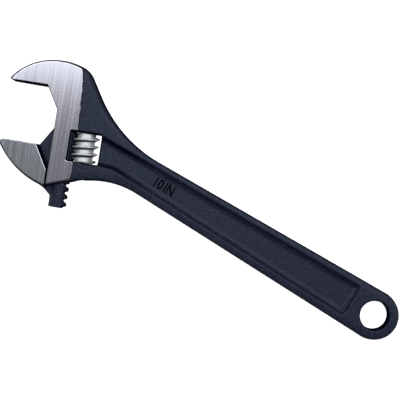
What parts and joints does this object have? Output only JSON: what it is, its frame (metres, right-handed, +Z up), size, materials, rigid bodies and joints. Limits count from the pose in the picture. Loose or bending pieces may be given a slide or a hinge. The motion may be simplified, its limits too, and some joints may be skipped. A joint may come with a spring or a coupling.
{
  "type": "adjustable wrench",
  "caption": "Ten-inch adjustable wrench: forged handle and fixed jaw, sliding jaw with a rack, and a knurl that drives it.",
  "frame": {"origin": "middle of the underside's bounding rectangle, on the plane the wrench lies on", "axes": "+X along the wrench towards the hang hole, +Y the way the movable jaw slides to close, +Z up through the thickness"},
  "size_m": [0.2336, 0.126, 0.0159],
  "materials": {
    "forged_body": "black oxide with ground faces",
    "jaw_steel": "ground faces, black oxide elsewhere",
    "knurl_plate": "bright plated",
    "pin_steel": "plain",
    "spring_steel": "plain"
  },
  "bodies": {
    "head": {"wrench_body": "forged_body", "knurl_pin": "pin_steel", "knurl_spring": "spring_steel"},
    "jaw": {"movable_jaw": "jaw_steel"},
    "knurl": {"knurl": "knurl_plate"}
  },
  "joints": [
    {"name": "knurl_spin", "type": "hinge", "parent": "head", "child": "knurl", "pos_m": [-0.06995, 0.0167, 0.00795], "axis": [0, -1, 0], "range_deg": [-27, 2787]},
    {"name": "jaw_slide", "type": "slide", "parent": "head", "child": "jaw", "axis": [0, 1, 0], "range_m": [-0.0003, 0.03275]}
  ],
  "couplings": [
    {"joint": "knurl_spin", "follows": "jaw_slide", "rad_per_m": 1484.2}
  ]
}
